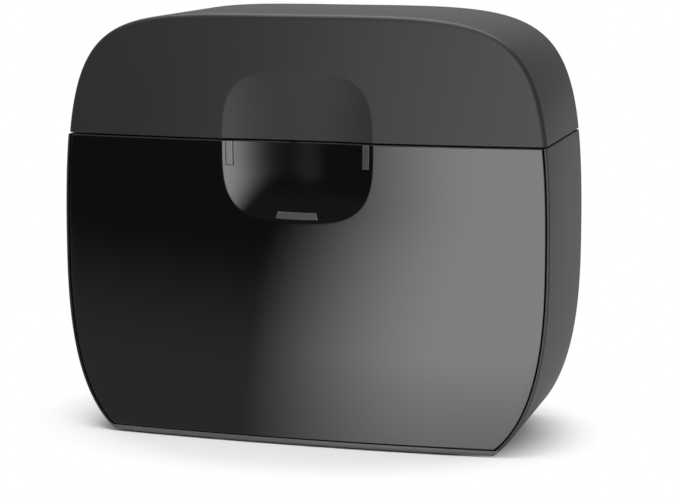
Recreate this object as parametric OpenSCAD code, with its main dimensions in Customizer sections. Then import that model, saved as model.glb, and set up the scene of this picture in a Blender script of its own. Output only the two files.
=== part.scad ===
// Upright charging case for a pair of hearing aids, with a hinged lid
// The front faces -Y, the hinge is at the back, and Z = 0 is the face it stands on

/* [Case] */
// Overall width at the widest height
case_w = 96; // [90:1:108]
// Overall height from the foot to the top of the lid
case_h = 82.5; // [80:0.5:92]
// Overall depth from the crown of the front to the flat back
case_d = 37.8; // [37:0.2:44]
// Height of the widest point of the outline
widest_z = 37.5; // [34:0.5:41]
// Width of the level stretch along the bottom
bottom_w = 76; // [74:0.5:78]
// How far the front bows forward at its middle
front_bow = 2.5; // [1.5:0.1:3.5]
// Radius of the front and back edges
edge_r = 0.8; // [0.6:0.1:1]
// Height of the parting plane between base and lid
parting_z = 58.7; // [57:0.1:61]
// Gap between the base and the closed lid
parting_gap = 0.3; // [0.2:0.05:0.4]
// Wall of the base beside the deck
rim_wall = 1.6; // [1.4:0.1:1.8]
// Width of the ledge that carries the deck
ledge_w = 1; // [0.8:0.1:1.2]
// Wall of the lid
lid_wall = 2; // [1.8:0.1:2.2]

/* [Front panel] */
// Thickness of the gloss panel
panel_t = 2; // [1.8:0.1:2.2]
// Distance from the case outline to the panel edge
panel_inset = 0.75; // [0.65:0.05:0.9]
// Height of the strip of the base below the panel
panel_sill = 1.1; // [0.9:0.05:1.3]
// Gap round the panel edge
panel_gap = 0.25; // [0.15:0.05:0.3]

/* [Finger scoop] */
// Width of the scoop
scoop_w = 29.5; // [27:0.5:31]
// Height of the scoop
scoop_h = 28.6; // [27:0.2:30]
// How far the scoop centre lies below the parting plane
scoop_drop = 1.1; // [0.5:0.1:1.5]
// Depth of the scoop
scoop_depth = 1.2; // [1:0.05:1.4]

/* [Light windows] */
// Width of each light window
window_w = 1.35; // [1.1:0.05:1.6]
// Distance from the scoop rim to a window
window_margin = 0.65; // [0.5:0.05:0.9]
// Height of the left and right windows
side_window_h = 4.7; // [4:0.1:5]
// Width of the lower window
lower_window_w = 8.4; // [7:0.1:10]
// How far the windows stand proud of the scoop
window_proud = 0.2; // [0.1:0.05:0.25]

/* [Charging deck] */
// Thickness of the deck plate
deck_t = 2.5; // [2.3:0.1:2.7]
// Height of the lip that centres the lid
lip_h = 1.6; // [1.4:0.1:1.8]
// Width of each hearing aid well
well_w = 12; // [11:0.5:12.5]
// Length of each well from front to back
well_l = 17; // [16:0.5:17.5]
// Depth of each well
well_depth = 16.5; // [14:0.5:18]
// Place of each well, as a share of half the case width
well_place = 0.56; // [0.55:0.005:0.57]
// Diameter of each ear dome pocket
dome_d = 12.5; // [11.5:0.1:13]
// Depth of each ear dome pocket
dome_depth = 9; // [8:0.5:10]
// Place of each dome pocket, as a share of half the case width
dome_place = 0.22; // [0.215:0.005:0.225]
// Width of the groove for the receiver wire
groove_w = 3.2; // [2.6:0.1:3.6]
// Wall of the well and pocket cups
cup_wall = 1.4; // [1.2:0.1:1.5]

/* [Hinge] */
// Diameter of the hinge barrel
barrel_d = 4.4; // [4.2:0.1:4.6]
// Diameter of the hinge pin
pin_d = 2; // [1.8:0.1:2.2]
// Width of the notch that holds the hinge
hinge_w = 40; // [36:1:42]
// Length of the middle knuckle, which belongs to the lid
lid_knuckle_w = 18; // [16:1:20]
// Angle at which the lid stops
lid_open = 100; // [90:1:105]

/* [Charging electronics] */
// Width of the main board
board_w = 44; // [43:1:46]
// Depth of the main board
board_d = 25; // [24:0.5:25.5]
// Diameter of each charging coil
coil_d = 14; // [12:0.5:14.5]
// Width of the battery cell
cell_w = 28; // [24:0.5:28]
// Depth of the battery cell
cell_d = 22; // [18:0.5:22]
// Height of the battery cell
cell_h = 12; // [8:0.5:16]
// Diameter of the closing magnets
magnet_d = 6; // [5:0.5:6]
// Thickness of the closing magnets
magnet_t = 2.5; // [2:0.1:2.6]

/* [Foot] */
// Distance from each end of the level bottom to the rubber foot
foot_side = 2; // [1:0.5:2.5]
// Distance from the front and the back to the rubber foot
foot_margin = 4.2; // [3.8:0.1:4.6]
// How far the foot lifts the case off the table
foot_lift = 0.3; // [0.2:0.05:0.5]

/* [Hidden] */

$fn = 64;
half_w = case_w / 2;
front_y = -case_d / 2;
back_y = case_d / 2;
bow_r = (half_w * half_w + front_bow * front_bow) / (2 * front_bow);
base_top = parting_z - parting_gap / 2;
lid_bottom = parting_z + parting_gap / 2;
base_wall = rim_wall + ledge_w;
fit = 0.2;
over = 1;

// Fullness of the outline: handle lengths as shares of the stretch they shape, and slope at the bottom corner
top_full = 0.856;
shoulder_full = 1.034;
flank_full = 0.294;
toe_full = 0.983;
toe_slope = 0.78;
shoulder_steps = 20;
flank_steps = 12;
level_steps = 12;

// Shape of the scoop: how square its rim is and how steeply its floor rises towards the rim
scoop_square = 3.3;
scoop_power = 3;
scoop_steps = 48;
scoop_z = parting_z - scoop_drop;
pad_margin = 1.8;
glue_gap = 0.1;
panel_stack = panel_t + glue_gap;
front_wall = panel_stack + rim_wall;
pad_back_y = front_y + front_wall;
flange_t = 0.8;
flange_w = 0.8;
flange_back_y = pad_back_y + flange_t;

screw_d = 2;
pilot_d = 1.6;
press_gap = 0.02;
pilot_hole = pilot_d + press_gap;
head_d = 3.8;
head_t = 1.3;

// Hinge: the axis runs just behind the flat back at the height of the parting plane
axis_out = 0.3;
axis_y = back_y + axis_out;
axis_z = parting_z;
pin_clear = 0.04;
knuckle_gap = 0.3;
hinge_play = 0.5;
dog_len = 1;
notch_h = 3;
leaf_t = 1.5;
leaf_pad = 1.6;
leaf_y = back_y - base_wall - leaf_pad - leaf_t;
leaf_gap = 0.9;
base_leaf_h = 11;
lid_leaf_share = 0.46;
lid_leaf_h = lid_leaf_share * (case_h - parting_z);
web_t = 1.8;
hinge_screw_bite = 2.5;
hinge_screw_l = leaf_t + hinge_screw_bite;
lid_end = lid_knuckle_w / 2;
base_start = lid_end + dog_len + knuckle_gap;
base_end = hinge_w / 2 - hinge_play;

// Dogs on the knuckles, as angles round the axis from the back upward
stop_spare = 2.5;
dog_play = 6;
base_dog = [190, 320];
lid_dog = [base_dog[1] - 360 + lid_open + stop_spare, base_dog[0] - dog_play];

deck_drop = 0.25;
deck_top = base_top - deck_drop;
deck_bottom = deck_top - deck_t;
lip_top = deck_top + lip_h;
lip_t = 1.2;
lip_clear = 0.3;
well_r = 5;
well_clear = 0.5;
well_x = well_place * half_w;
well_y = bow_y(well_x) + front_wall + ledge_w + well_clear + cup_wall + well_l / 2;
dome_clear = 1.25;
dome_x = dome_place * half_w;
dome_y = leaf_y - head_t - dome_clear - cup_wall - dome_d / 2;
groove_depth = 1.5;
well_floor = deck_top - well_depth;
cup_bottom = well_floor - cup_wall;
dome_floor = deck_top - dome_depth;
pad_t = 1;
pad_gap = 0.15;
coil_t = 1.2;
coil_bore = 5;
ferrite_t = 0.8;

floor_z = foot_lift + base_wall;
board_t = 1.2;
board_rise = 4.6;
board_gap = 0.5;
board_z = floor_z + board_rise;
board_top = board_z + board_t;
board_back_y = back_y - base_wall - board_gap;
board_y = board_back_y - board_d / 2;
post_inset = 3.5;
post_x = board_w / 2 - post_inset;
post_y = board_d / 2 - post_inset;
post_d = 5;
board_screw_bite = 4;
chip_t = 1;
choke_t = 2.4;
charger_w = 7;
choke_w = 5;
driver_w = 4;
sensor_w = 3;
usb_w = 9;
usb_h = 3.2;
usb_l = 7.3;
usb_r = 0.47 * usb_h;
usb_wall = 0.3;
usb_inset = 0.5;
usb_z = board_top + usb_h / 2;
usb_clear = 0.35;
tongue_w = 6.7;
tongue_t = 0.7;
tongue_in = 1;
cradle_t = 1.5;
cradle_rise = 6;
cradle_z = board_top + cradle_rise;
cradle_lip = 3;
cell_gap = 0.5;
cell_r = 2;
cell_y = board_y;

pillar_d = 6.5;
boss_wall = 1;
boss_d = pillar_d + 2 * boss_wall;
boss_h = 3.1;
boss_top = floor_z + boss_h;
pillar_clear = 0.3;
board_side_gap = 0.75;
pillar_x = board_w / 2 + board_side_gap + boss_d / 2;
pillar_y = back_y - base_wall - pillar_clear - boss_d / 2;
pillar_bite = 8;
pilot_spare = 1;
foot_t = 1.4;
foot_r = 5;
foot_w = bottom_w - 2 * foot_side;
foot_d = case_d - 2 * foot_margin;

magnet_margin = 9;
magnet_x = half_w - magnet_margin;
magnet_y = -5;
magnet_skin = 0.8;
magnet_wall = 1.2;
magnet_gap = 0.1;

light_gap = 2.2;
light_board_t = 1;
light_board_side = 2.25;
light_board_w = scoop_w + 2 * light_board_side;
light_board_h = 12;
light_board_gap = 0.5;
light_board_top = deck_bottom - light_board_gap;
light_board_y = pad_back_y + light_gap;
light_post_d = 4;
light_post_x = 8;
light_post_drop = 3.5;
light_post_z = light_board_top - light_post_drop;
led_w = 1.6;
led_h = 0.8;
led_t = 0.6;
led_drop = 1;

liner_t = 1.8;
liner_gap = 0.4;
liner_z = lip_top + liner_gap;
liner_hinge_gap = 1.5;
pocket_in = 4;
pocket_out = magnet_x - magnet_d / 2 - magnet_wall;
pocket_front = -11.5;
pocket_back = 9.5;
pocket_r = 6;
pocket_wall = 1.4;

// Outline of the case, seen from the front, from two curves that meet at the widest point

function bezier(a, b, c, d, t) =
    pow(1 - t, 3) * a + 3 * pow(1 - t, 2) * t * b + 3 * (1 - t) * t * t * c + pow(t, 3) * d;

function bezier_slope(a, b, c, d, t) =
    pow(1 - t, 2) * (b - a) + 2 * (1 - t) * t * (c - b) + t * t * (d - c);

function moved_in(p, slope, inset) = p + [slope[1], -slope[0]] / norm(slope) * inset;

shoulder = [
    [0, case_h],
    [top_full * half_w, case_h],
    [half_w, widest_z + shoulder_full * (case_h - widest_z)],
    [half_w, widest_z]
];
toe_run = toe_full * (half_w - bottom_w / 2);
flank = [
    [half_w, widest_z],
    [half_w, widest_z - flank_full * (widest_z - foot_lift)],
    [bottom_w / 2 + toe_run, foot_lift + toe_slope * toe_run],
    [bottom_w / 2, foot_lift]
];

function curve(c, t, inset) =
    moved_in(bezier(c[0], c[1], c[2], c[3], t), bezier_slope(c[0], c[1], c[2], c[3], t), inset);

function above(p, z) = [p[0], max(p[1], z)];

function right_side(inset) = concat(
    [for (i = [1 : shoulder_steps]) curve(shoulder, i / shoulder_steps, inset)],
    [for (i = [1 : flank_steps]) above(curve(flank, i / flank_steps, inset), foot_lift + inset)]
);

function mirrored(points) = [for (i = [len(points) - 1 : -1 : 0]) [-points[i][0], points[i][1]]];

function level(inset, steps) =
    [for (i = [1 : 1 : steps - 1]) [bottom_w / 2 * (1 - 2 * i / steps), foot_lift + inset]];

function outline(inset, steps = 1) =
    concat([[0, case_h - inset]], right_side(inset), level(inset, steps), mirrored(right_side(inset)));

// Bow of the front, a shallow arc about an upright axis

function bow_y(x) = front_y + bow_r - sqrt(bow_r * bow_r - x * x);

module bowed(inset) {
    translate([0, front_y + bow_r, -over]) cylinder(r = bow_r - inset, h = case_h + 2 * over, $fn = 240);
}

module across(y0, y1) {
    translate([0, y1, 0]) rotate([90, 0, 0]) linear_extrude(y1 - y0) children();
}

module outline_prism(inset, y0, y1) {
    across(y0, y1) polygon(outline(inset));
}

module band(z0, z1) {
    translate([-case_w, -case_d, z0]) cube([2 * case_w, 2 * case_d, z1 - z0]);
}

// Room inside the case: a space parallel to its outline, front and back
module room(side, front, back, z0, z1) {
    intersection() {
        outline_prism(side, front_y - over, back_y - back);
        bowed(front);
        band(z0, z1);
    }
}

// Skin over a stack of rings, closed by a tip at the first ring and a flat cap at the last
module skin(rings, tip) {
    count = len(rings[0]);
    last = len(rings) - 1;
    points = concat([for (r = rings) each r], [tip]);
    fan = [for (i = [0 : count - 1]) [len(points) - 1, i, (i + 1) % count]];
    bands = [
        for (k = [0 : last - 1], i = [0 : count - 1])
            let (a = k * count + i, b = k * count + (i + 1) % count, c = b + count, d = a + count)
                each [[a, d, c], [a, c, b]]
    ];
    cap = [[for (i = [count - 1 : -1 : 0]) last * count + i]];
    polyhedron(points, concat(fan, bands, cap));
}

// Whole outer form, with rounded front and back edges

function ring(inset) = outline(inset, level_steps);

module case_solid() {
    front_rings = [
        for (s = [0.3, 0.6, 0.85])
            [for (p = ring(edge_r)) [p[0] * s, bow_y(p[0] * s), scoop_z + (p[1] - scoop_z) * s]]
    ];
    front_edge = [
        for (a = [0 : 30 : 90])
            [for (p = ring(edge_r * (1 - sin(a)))) [p[0], bow_y(p[0]) + edge_r * (1 - cos(a)), p[1]]]
    ];
    back_edge = [
        for (a = [90 : -30 : 0])
            [for (p = ring(edge_r * (1 - sin(a)))) [p[0], back_y - edge_r * (1 - cos(a)), p[1]]]
    ];
    skin(concat(front_rings, front_edge, back_edge), [0, front_y, scoop_z]);
}

// Finger scoop: a squarish dish that follows the bow of the front

function power_of(v, e) = sign(v) * pow(abs(v), e);

function scoop_point(angle, share) = [
    power_of(cos(angle), 2 / scoop_square) * share * scoop_w / 2,
    scoop_z + power_of(sin(angle), 2 / scoop_square) * share * scoop_h / 2
];

function scoop_floor(share) = scoop_depth * (1 - pow(share, scoop_power));

function scoop_rim(share) = [for (i = [0 : scoop_steps - 1]) scoop_point(90 + 360 * i / scoop_steps, share)];

module scoop_cut() {
    flare = 1.06;
    floor_rings = [
        for (s = [0.3, 0.5, 0.66, 0.79, 0.9, flare])
            [for (p = scoop_rim(s)) [p[0], bow_y(p[0]) + scoop_floor(s), p[1]]]
    ];
    mouth = [for (p = scoop_rim(flare)) [p[0], front_y - over, p[1]]];
    skin(concat(floor_rings, [mouth]), [0, front_y + scoop_depth, scoop_z]);
}

module scoop_pad(margin, y0, y1) {
    across(y0, y1) polygon(scoop_rim(1 + 2 * margin / scoop_w));
}

// Light windows: stretches of a ring just inside the scoop rim

window_out = 1 - 2 * window_margin / scoop_w;
window_in = window_out - 2 * window_w / scoop_w;
side_end = scoop_z - (base_top - side_window_h);
side_angle = asin(pow(side_end / (window_out * scoop_h / 2), scoop_square / 2));
lower_angle = asin(pow(lower_window_w / (window_out * scoop_w), scoop_square / 2));
SIDE_WINDOWS = [[180 - side_angle, 180 + side_angle], [-side_angle, side_angle]];
LOWER_WINDOW = [270 - lower_angle, 270 + lower_angle];

function window_outline(ends, grow) =
    let (
        steps = 8,
        spread = grow / (window_in * scoop_w / 2) * 180 / PI,
        start = ends[0] - spread,
        turn = ends[1] - ends[0] + 2 * spread,
        rise = 2 * grow / scoop_w
    ) concat(
        [for (i = [0 : steps]) scoop_point(start + turn * i / steps, window_out + rise)],
        [for (i = [steps : -1 : 0]) scoop_point(start + turn * i / steps, window_in - rise)]
    );

module window_prism(ends, grow, y0, y1, top) {
    intersection() {
        across(y0, y1) polygon(window_outline(ends, grow));
        band(0, top);
    }
}

module light_window(ends) {
    color("gainsboro") difference() {
        union() {
            window_prism(ends, 0, front_y - over / 2, flange_back_y, base_top - fit / 2);
            window_prism(ends, flange_w, pad_back_y, flange_back_y, base_top - fit);
        }
        translate([0, -window_proud, 0]) scoop_cut();
    }
}

// Rounded rectangle, drawn about its centre
module rounded(w, d, r) {
    square([w - 2 * r, d], center = true);
    square([w, d - 2 * r], center = true);
    for (x = [-1, 1], y = [-1, 1]) translate([x * (w / 2 - r), y * (d / 2 - r)]) circle(r);
}

module both_sides() {
    children();
    mirror([1, 0, 0]) children();
}

module screw(length) {
    cylinder(d = head_d, h = head_t);
    translate([0, 0, -length]) cylinder(d = pilot_d, h = length);
}

// Base

module panel_rebate() {
    difference() {
        outline_prism(panel_inset - panel_gap, front_y - over, 0);
        bowed(panel_stack);
        band(-over, foot_lift + panel_sill - panel_gap);
    }
}

module usb_opening() {
    translate([0, 0, usb_z]) across(back_y - base_wall - over, back_y + over)
        rounded(usb_w + 2 * usb_clear, usb_h + 2 * usb_clear, usb_h / 2);
}

module hinge_notch(z0, z1) {
    translate([-hinge_w / 2, leaf_y - fit, z0]) cube([hinge_w, axis_y + barrel_d - leaf_y, z1 - z0]);
}

module foot_outline(grow) {
    rounded(foot_w + 2 * grow, foot_d + 2 * grow, foot_r + grow);
}

module base_shell() {
    color("dimgray") difference() {
        union() {
            difference() {
                intersection() {
                    case_solid();
                    band(-over, base_top);
                }
                room(rim_wall, front_wall, rim_wall, deck_bottom, base_top + over);
                room(base_wall, front_wall + ledge_w, base_wall, 0, deck_bottom + over / 2);
            }
            for (x = [-1, 1], y = [-1, 1]) translate([x * post_x, board_y + y * post_y, floor_z - over])
                cylinder(d = post_d, h = board_z - floor_z + over);
            both_sides() translate([pillar_x, pillar_y, floor_z - over])
                cylinder(d = boss_d, h = boss_h + over);
            translate([-hinge_w / 2, leaf_y + leaf_t, axis_z - notch_h - base_leaf_h])
                cube([hinge_w, leaf_pad + over / 2, base_leaf_h]);
        }
        panel_rebate();
        scoop_pad(pad_margin + fit, front_y, pad_back_y + ledge_w + over);
        hinge_notch(axis_z - notch_h, base_top + over);
        usb_opening();
        translate([0, 0, -over]) linear_extrude(foot_t + over) foot_outline(fit / 2);
        both_sides() translate([pillar_x, pillar_y, 0]) {
            cylinder(d = screw_d + fit, h = boss_top + over);
            cylinder(d = head_d + 2 * fit, h = foot_t + head_t + fit);
        }
        for (x = [-1, 1], y = [-1, 1]) translate([x * post_x, board_y + y * post_y, floor_z + fit])
            cylinder(d = pilot_hole, h = board_z);
        base_hinge_screw_places() translate([0, 0, -hinge_screw_l])
            cylinder(d = pilot_hole, h = hinge_screw_l);
    }
}

module front_panel() {
    color("#111111") difference() {
        union() {
            intersection() {
                difference() {
                    outline_prism(panel_inset, front_y - over, 0);
                    bowed(panel_t);
                }
                bowed(0);
                band(foot_lift + panel_sill, base_top);
            }
            intersection() {
                scoop_pad(pad_margin, front_y + panel_t / 2, pad_back_y);
                bowed(panel_t / 2);
                band(0, base_top);
            }
            for (x = [-1, 1]) translate([x * light_post_x, 0, light_post_z])
                across(pad_back_y - over / 2, light_board_y) circle(d = light_post_d);
        }
        scoop_cut();
        for (ends = concat(SIDE_WINDOWS, [LOWER_WINDOW]))
            window_prism(ends, fit / 2, front_y - over, pad_back_y + over, base_top + over);
        for (x = [-1, 1]) translate([x * light_post_x, 0, light_post_z])
            across(pad_back_y - over / 2, light_board_y + over) circle(d = pilot_hole);
    }
}

module light_window_left() light_window(SIDE_WINDOWS[0]);
module light_window_right() light_window(SIDE_WINDOWS[1]);
module light_window_lower() light_window(LOWER_WINDOW);

module light_board() {
    color("darkgreen") difference() {
        translate([-light_board_w / 2, light_board_y, light_board_top - light_board_h])
            cube([light_board_w, light_board_t, light_board_h]);
        for (x = [-1, 1]) translate([x * light_post_x, 0, light_post_z])
            across(light_board_y - over, light_board_y + light_board_t + over) circle(d = screw_d + fit);
    }
}

module status_leds() {
    side_x = (window_in + window_out) / 2 * scoop_w / 2;
    lower_z = scoop_z - (window_in + window_out) / 2 * scoop_h / 2;
    side_z = light_board_top - led_drop;
    color("ivory") for (p = [[-side_x, side_z], [side_x, side_z], [0, lower_z]])
        translate([p[0] - led_w / 2, light_board_y - led_t, p[1] - led_h / 2]) cube([led_w, led_t, led_h]);
}

module light_board_screws() {
    color("silver") for (x = [-1, 1])
        translate([x * light_post_x, light_board_y + light_board_t, light_post_z]) rotate([-90, 0, 0])
            screw(light_gap + light_board_t);
}

// Charging deck

module well_plan(grow) {
    translate([well_x, well_y]) rounded(well_w + 2 * grow, well_l + 2 * grow, well_r + grow);
}

module tray_body() {
    room(rim_wall + fit, front_wall + fit, rim_wall + fit, deck_bottom, deck_top);
    difference() {
        room(lid_wall + lip_clear, front_wall + fit, lid_wall + lip_clear, deck_bottom, lip_top);
        room(
            lid_wall + lip_clear + lip_t, front_wall + fit + lip_t, lid_wall + lip_clear + lip_t,
            deck_bottom - over, lip_top + over
        );
    }
    both_sides() {
        translate([0, 0, cup_bottom]) linear_extrude(deck_top - cup_bottom) well_plan(cup_wall);
        translate([dome_x, dome_y, dome_floor - cup_wall])
            cylinder(d = dome_d + 2 * cup_wall, h = dome_depth + cup_wall);
        translate([pillar_x, pillar_y, boss_top]) cylinder(d = pillar_d, h = deck_top - boss_top);
        translate([magnet_x, magnet_y, deck_top - magnet_skin - magnet_t])
            cylinder(d = magnet_d + 2 * magnet_wall, h = magnet_t);
    }
}

module charging_tray() {
    color("#3a3a3a") difference() {
        tray_body();
        scoop_pad(pad_margin + fit, front_y, flange_back_y + fit);
        hinge_notch(0, lip_top + over);
        both_sides() {
            translate([0, 0, well_floor]) linear_extrude(well_depth + lip_h + over) well_plan(0);
            translate([dome_x, dome_y, dome_floor]) cylinder(d = dome_d, h = dome_depth + over);
            translate([dome_x, dome_y - groove_w / 2, deck_top - groove_depth])
                cube([well_x - dome_x, groove_w, groove_depth + over]);
            translate([pillar_x, pillar_y, 0])
                cylinder(d = pilot_hole, h = boss_top + pillar_bite + pilot_spare);
            translate([magnet_x, magnet_y, deck_bottom - magnet_t])
                cylinder(d = magnet_d + magnet_gap, h = deck_t + magnet_t - magnet_skin);
        }
    }
}

module well_pad() {
    color("slategray") translate([0, 0, well_floor]) linear_extrude(pad_t) well_plan(-pad_gap);
}

module well_pad_right() well_pad();
module well_pad_left() mirror([1, 0, 0]) well_pad();

module charge_coil() {
    color("peru") translate([well_x, well_y, cup_bottom - coil_t]) difference() {
        cylinder(d = coil_d, h = coil_t);
        translate([0, 0, -over]) cylinder(d = coil_bore, h = coil_t + 2 * over);
    }
}

module ferrite() {
    color("#222222") translate([well_x, well_y, cup_bottom - coil_t - ferrite_t])
        cylinder(d = coil_d, h = ferrite_t);
}

module charge_coil_right() charge_coil();
module charge_coil_left() mirror([1, 0, 0]) charge_coil();
module ferrite_right() ferrite();
module ferrite_left() mirror([1, 0, 0]) ferrite();

module tray_screws() {
    color("silver") both_sides() translate([pillar_x, pillar_y, foot_t + head_t]) rotate([180, 0, 0])
        screw(boss_top - foot_t - head_t + pillar_bite);
}

module base_magnets() {
    color("lightgray") both_sides() translate([magnet_x, magnet_y, deck_top - magnet_skin - magnet_t])
        cylinder(d = magnet_d, h = magnet_t);
}

// Electronics in the base

module main_board() {
    color("darkgreen") difference() {
        translate([-board_w / 2, board_back_y - board_d, board_z]) cube([board_w, board_d, board_t]);
        for (x = [-1, 1], y = [-1, 1]) translate([x * post_x, board_y + y * post_y, board_z - over])
            cylinder(d = screw_d + fit, h = board_t + 2 * over);
    }
}

module chip(x, y, w, h) {
    translate([x * board_w - w / 2, board_y + y * board_d - w / 2, board_top]) cube([w, w, h]);
}

module board_chips() {
    color("#181818") {
        chip(-0.16, -0.16, charger_w, chip_t);
        chip(0.09, -0.2, choke_w, choke_t);
        chip(-0.18, 0.2, driver_w, chip_t);
        chip(0.02, 0.04, sensor_w, chip_t);
    }
}

module usb_socket() {
    color("silver") translate([0, back_y - usb_inset, usb_z]) {
        difference() {
            across(-usb_l, 0) rounded(usb_w, usb_h, usb_r);
            across(usb_wall - usb_l, over)
                rounded(usb_w - 2 * usb_wall, usb_h - 2 * usb_wall, usb_r - usb_wall);
        }
        across(usb_wall / 2 - usb_l, -tongue_in) square([tongue_w, tongue_t], center = true);
    }
}

module battery_cradle() {
    leg_x = cell_w / 2 + cell_gap;
    plate_w = 2 * (leg_x + cradle_t);
    plate_d = cell_d + 2 * cradle_t;
    wall_top = cradle_z + cradle_t + cradle_lip;
    color("dimgray") difference() {
        union() {
            translate([-plate_w / 2, cell_y - plate_d / 2, cradle_z]) cube([plate_w, plate_d, cradle_t]);
            both_sides() translate([leg_x, cell_y - cell_d / 2, board_top]) {
                cube([cradle_t, cell_d, wall_top - board_top]);
                cube([board_w / 2 - leg_x, cell_d, cradle_t]);
            }
            for (y = [-plate_d / 2, plate_d / 2 - cradle_t])
                translate([-plate_w / 2, cell_y + y, cradle_z])
                    cube([plate_w, cradle_t, wall_top - cradle_z]);
        }
        for (x = [-1, 1], y = [-1, 1]) translate([x * post_x, board_y + y * post_y, board_z])
            cylinder(d = screw_d + fit, h = board_t + cradle_t + over);
    }
}

module battery_cell() {
    color("lightsteelblue") translate([0, cell_y, cradle_z + cradle_t]) linear_extrude(cell_h)
        rounded(cell_w, cell_d - fit, cell_r);
}

module board_screws() {
    color("silver") for (x = [-1, 1], y = [-1, 1])
        translate([x * post_x, board_y + y * post_y, board_top + cradle_t])
            screw(board_t + cradle_t + board_screw_bite);
}

module foot_pad() {
    color("#202020") linear_extrude(foot_t) foot_outline(0);
}

// Hinge

module along_x(x0, x1) {
    translate([x0, axis_y, axis_z]) rotate([90, 0, 90]) linear_extrude(x1 - x0) children();
}

// Sector of the barrel, from one angle to another, measured from the back upward
module sector(from, to) {
    steps = 6;
    turns = [for (i = [0 : steps]) from + (to - from) * i / steps];
    intersection() {
        circle(d = barrel_d);
        polygon(concat([[0, 0]], [for (a = turns) barrel_d * [cos(a), sin(a)]]));
    }
}

module base_hinge_screw_places() {
    for (x = [-1, 1]) translate([x * hinge_w / 4, leaf_y, axis_z - notch_h - base_leaf_h / 2])
        rotate([90, 0, 0]) children();
}

module lid_hinge_screw_places() {
    for (x = [-1, 1]) translate([x * hinge_w / 4, leaf_y, axis_z + notch_h + lid_leaf_h / 2])
        rotate([90, 0, 0]) children();
}

module base_hinge() {
    color("gray") difference() {
        union() {
            both_sides() {
                along_x(base_start, base_end) circle(d = barrel_d);
                along_x(base_start - dog_len, base_start + over / 2) sector(base_dog[0], base_dog[1]);
                translate([base_start, leaf_y, axis_z - leaf_gap - web_t])
                    cube([base_end - base_start, axis_y - leaf_y, web_t]);
            }
            translate([-base_end, leaf_y, axis_z - notch_h - base_leaf_h])
                cube([2 * base_end, leaf_t, notch_h + base_leaf_h - leaf_gap]);
        }
        along_x(-hinge_w / 2, hinge_w / 2) circle(d = pin_d + press_gap);
        base_hinge_screw_places() translate([0, 0, -leaf_t - over])
            cylinder(d = screw_d + fit, h = leaf_t + 2 * over);
    }
}

module base_hinge_screws() {
    color("silver") base_hinge_screw_places() screw(hinge_screw_l);
}

module hinge_pin() {
    color("lightgray") along_x(-base_end, base_end) circle(d = pin_d);
}

module lid_hinge() {
    color("gray") difference() {
        union() {
            along_x(-lid_end, lid_end) circle(d = barrel_d);
            both_sides() along_x(lid_end - over / 2, lid_end + dog_len) sector(lid_dog[0], lid_dog[1]);
            translate([-lid_end, leaf_y, axis_z + leaf_gap]) cube([2 * lid_end, axis_y - leaf_y, web_t]);
            translate([-base_end, leaf_y, axis_z + leaf_gap])
                cube([2 * base_end, leaf_t, notch_h + lid_leaf_h - leaf_gap]);
        }
        along_x(-hinge_w / 2, hinge_w / 2) circle(d = pin_d + 2 * pin_clear);
        lid_hinge_screw_places() translate([0, 0, -leaf_t - over])
            cylinder(d = screw_d + fit, h = leaf_t + 2 * over);
    }
}

module lid_hinge_screws() {
    color("silver") lid_hinge_screw_places() screw(hinge_screw_l);
}

// Lid

module lid_shell() {
    color("#4a4a4a") difference() {
        union() {
            difference() {
                intersection() {
                    case_solid();
                    band(lid_bottom, case_h + over);
                }
                room(lid_wall, lid_wall, lid_wall, 0, case_h);
            }
            intersection() {
                scoop_pad(pad_margin, front_y + lid_wall / 2, pad_back_y);
                bowed(lid_wall / 2);
                band(lid_bottom, case_h);
            }
            translate([-hinge_w / 2, leaf_y + leaf_t, axis_z + notch_h])
                cube([hinge_w, base_wall + leaf_pad - lid_wall + over / 2, lid_leaf_h]);
        }
        scoop_cut();
        hinge_notch(0, axis_z + notch_h);
        lid_hinge_screw_places() translate([0, 0, -hinge_screw_l])
            cylinder(d = pilot_hole, h = hinge_screw_l);
    }
}

module pocket_plan(grow) {
    translate([(pocket_in + pocket_out) / 2, (pocket_front + pocket_back) / 2])
        rounded(pocket_out - pocket_in + 2 * grow, pocket_back - pocket_front + 2 * grow, pocket_r + grow);
}

module lid_liner() {
    color("#333333") difference() {
        union() {
            room(lid_wall + fit, lid_wall + fit, lid_wall + fit, liner_z, liner_z + liner_t);
            intersection() {
                both_sides() translate([0, 0, liner_z]) linear_extrude(case_h) pocket_plan(pocket_wall);
                outline_prism(lid_wall + fit, front_y, back_y);
            }
            both_sides() translate([magnet_x, magnet_y, liner_z])
                cylinder(d = magnet_d + 2 * magnet_wall, h = magnet_skin + magnet_t);
        }
        intersection() {
            both_sides() linear_extrude(case_h) pocket_plan(0);
            outline_prism(lid_wall + fit + pocket_wall, front_y, back_y);
        }
        scoop_pad(pad_margin + fit, front_y, pad_back_y + fit);
        translate([-hinge_w / 2 - fit, leaf_y - head_t - liner_hinge_gap, 0])
            cube([hinge_w + 2 * fit, case_d, case_h]);
        both_sides() translate([magnet_x, magnet_y, liner_z + magnet_skin])
            cylinder(d = magnet_d + magnet_gap, h = magnet_t + over);
    }
}

module lid_magnets() {
    color("lightgray") both_sides() translate([magnet_x, magnet_y, liner_z + magnet_skin])
        cylinder(d = magnet_d, h = magnet_t);
}

base_shell();
front_panel();
light_window_left();
light_window_right();
light_window_lower();
light_board();
status_leds();
light_board_screws();
charging_tray();
well_pad_left();
well_pad_right();
charge_coil_left();
charge_coil_right();
ferrite_left();
ferrite_right();
tray_screws();
base_magnets();
main_board();
board_chips();
usb_socket();
battery_cradle();
battery_cell();
board_screws();
foot_pad();
base_hinge();
base_hinge_screws();
hinge_pin();
lid_shell();
lid_liner();
lid_hinge();
lid_hinge_screws();
lid_magnets();
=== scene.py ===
from math import cos, pi, radians, sin

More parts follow.
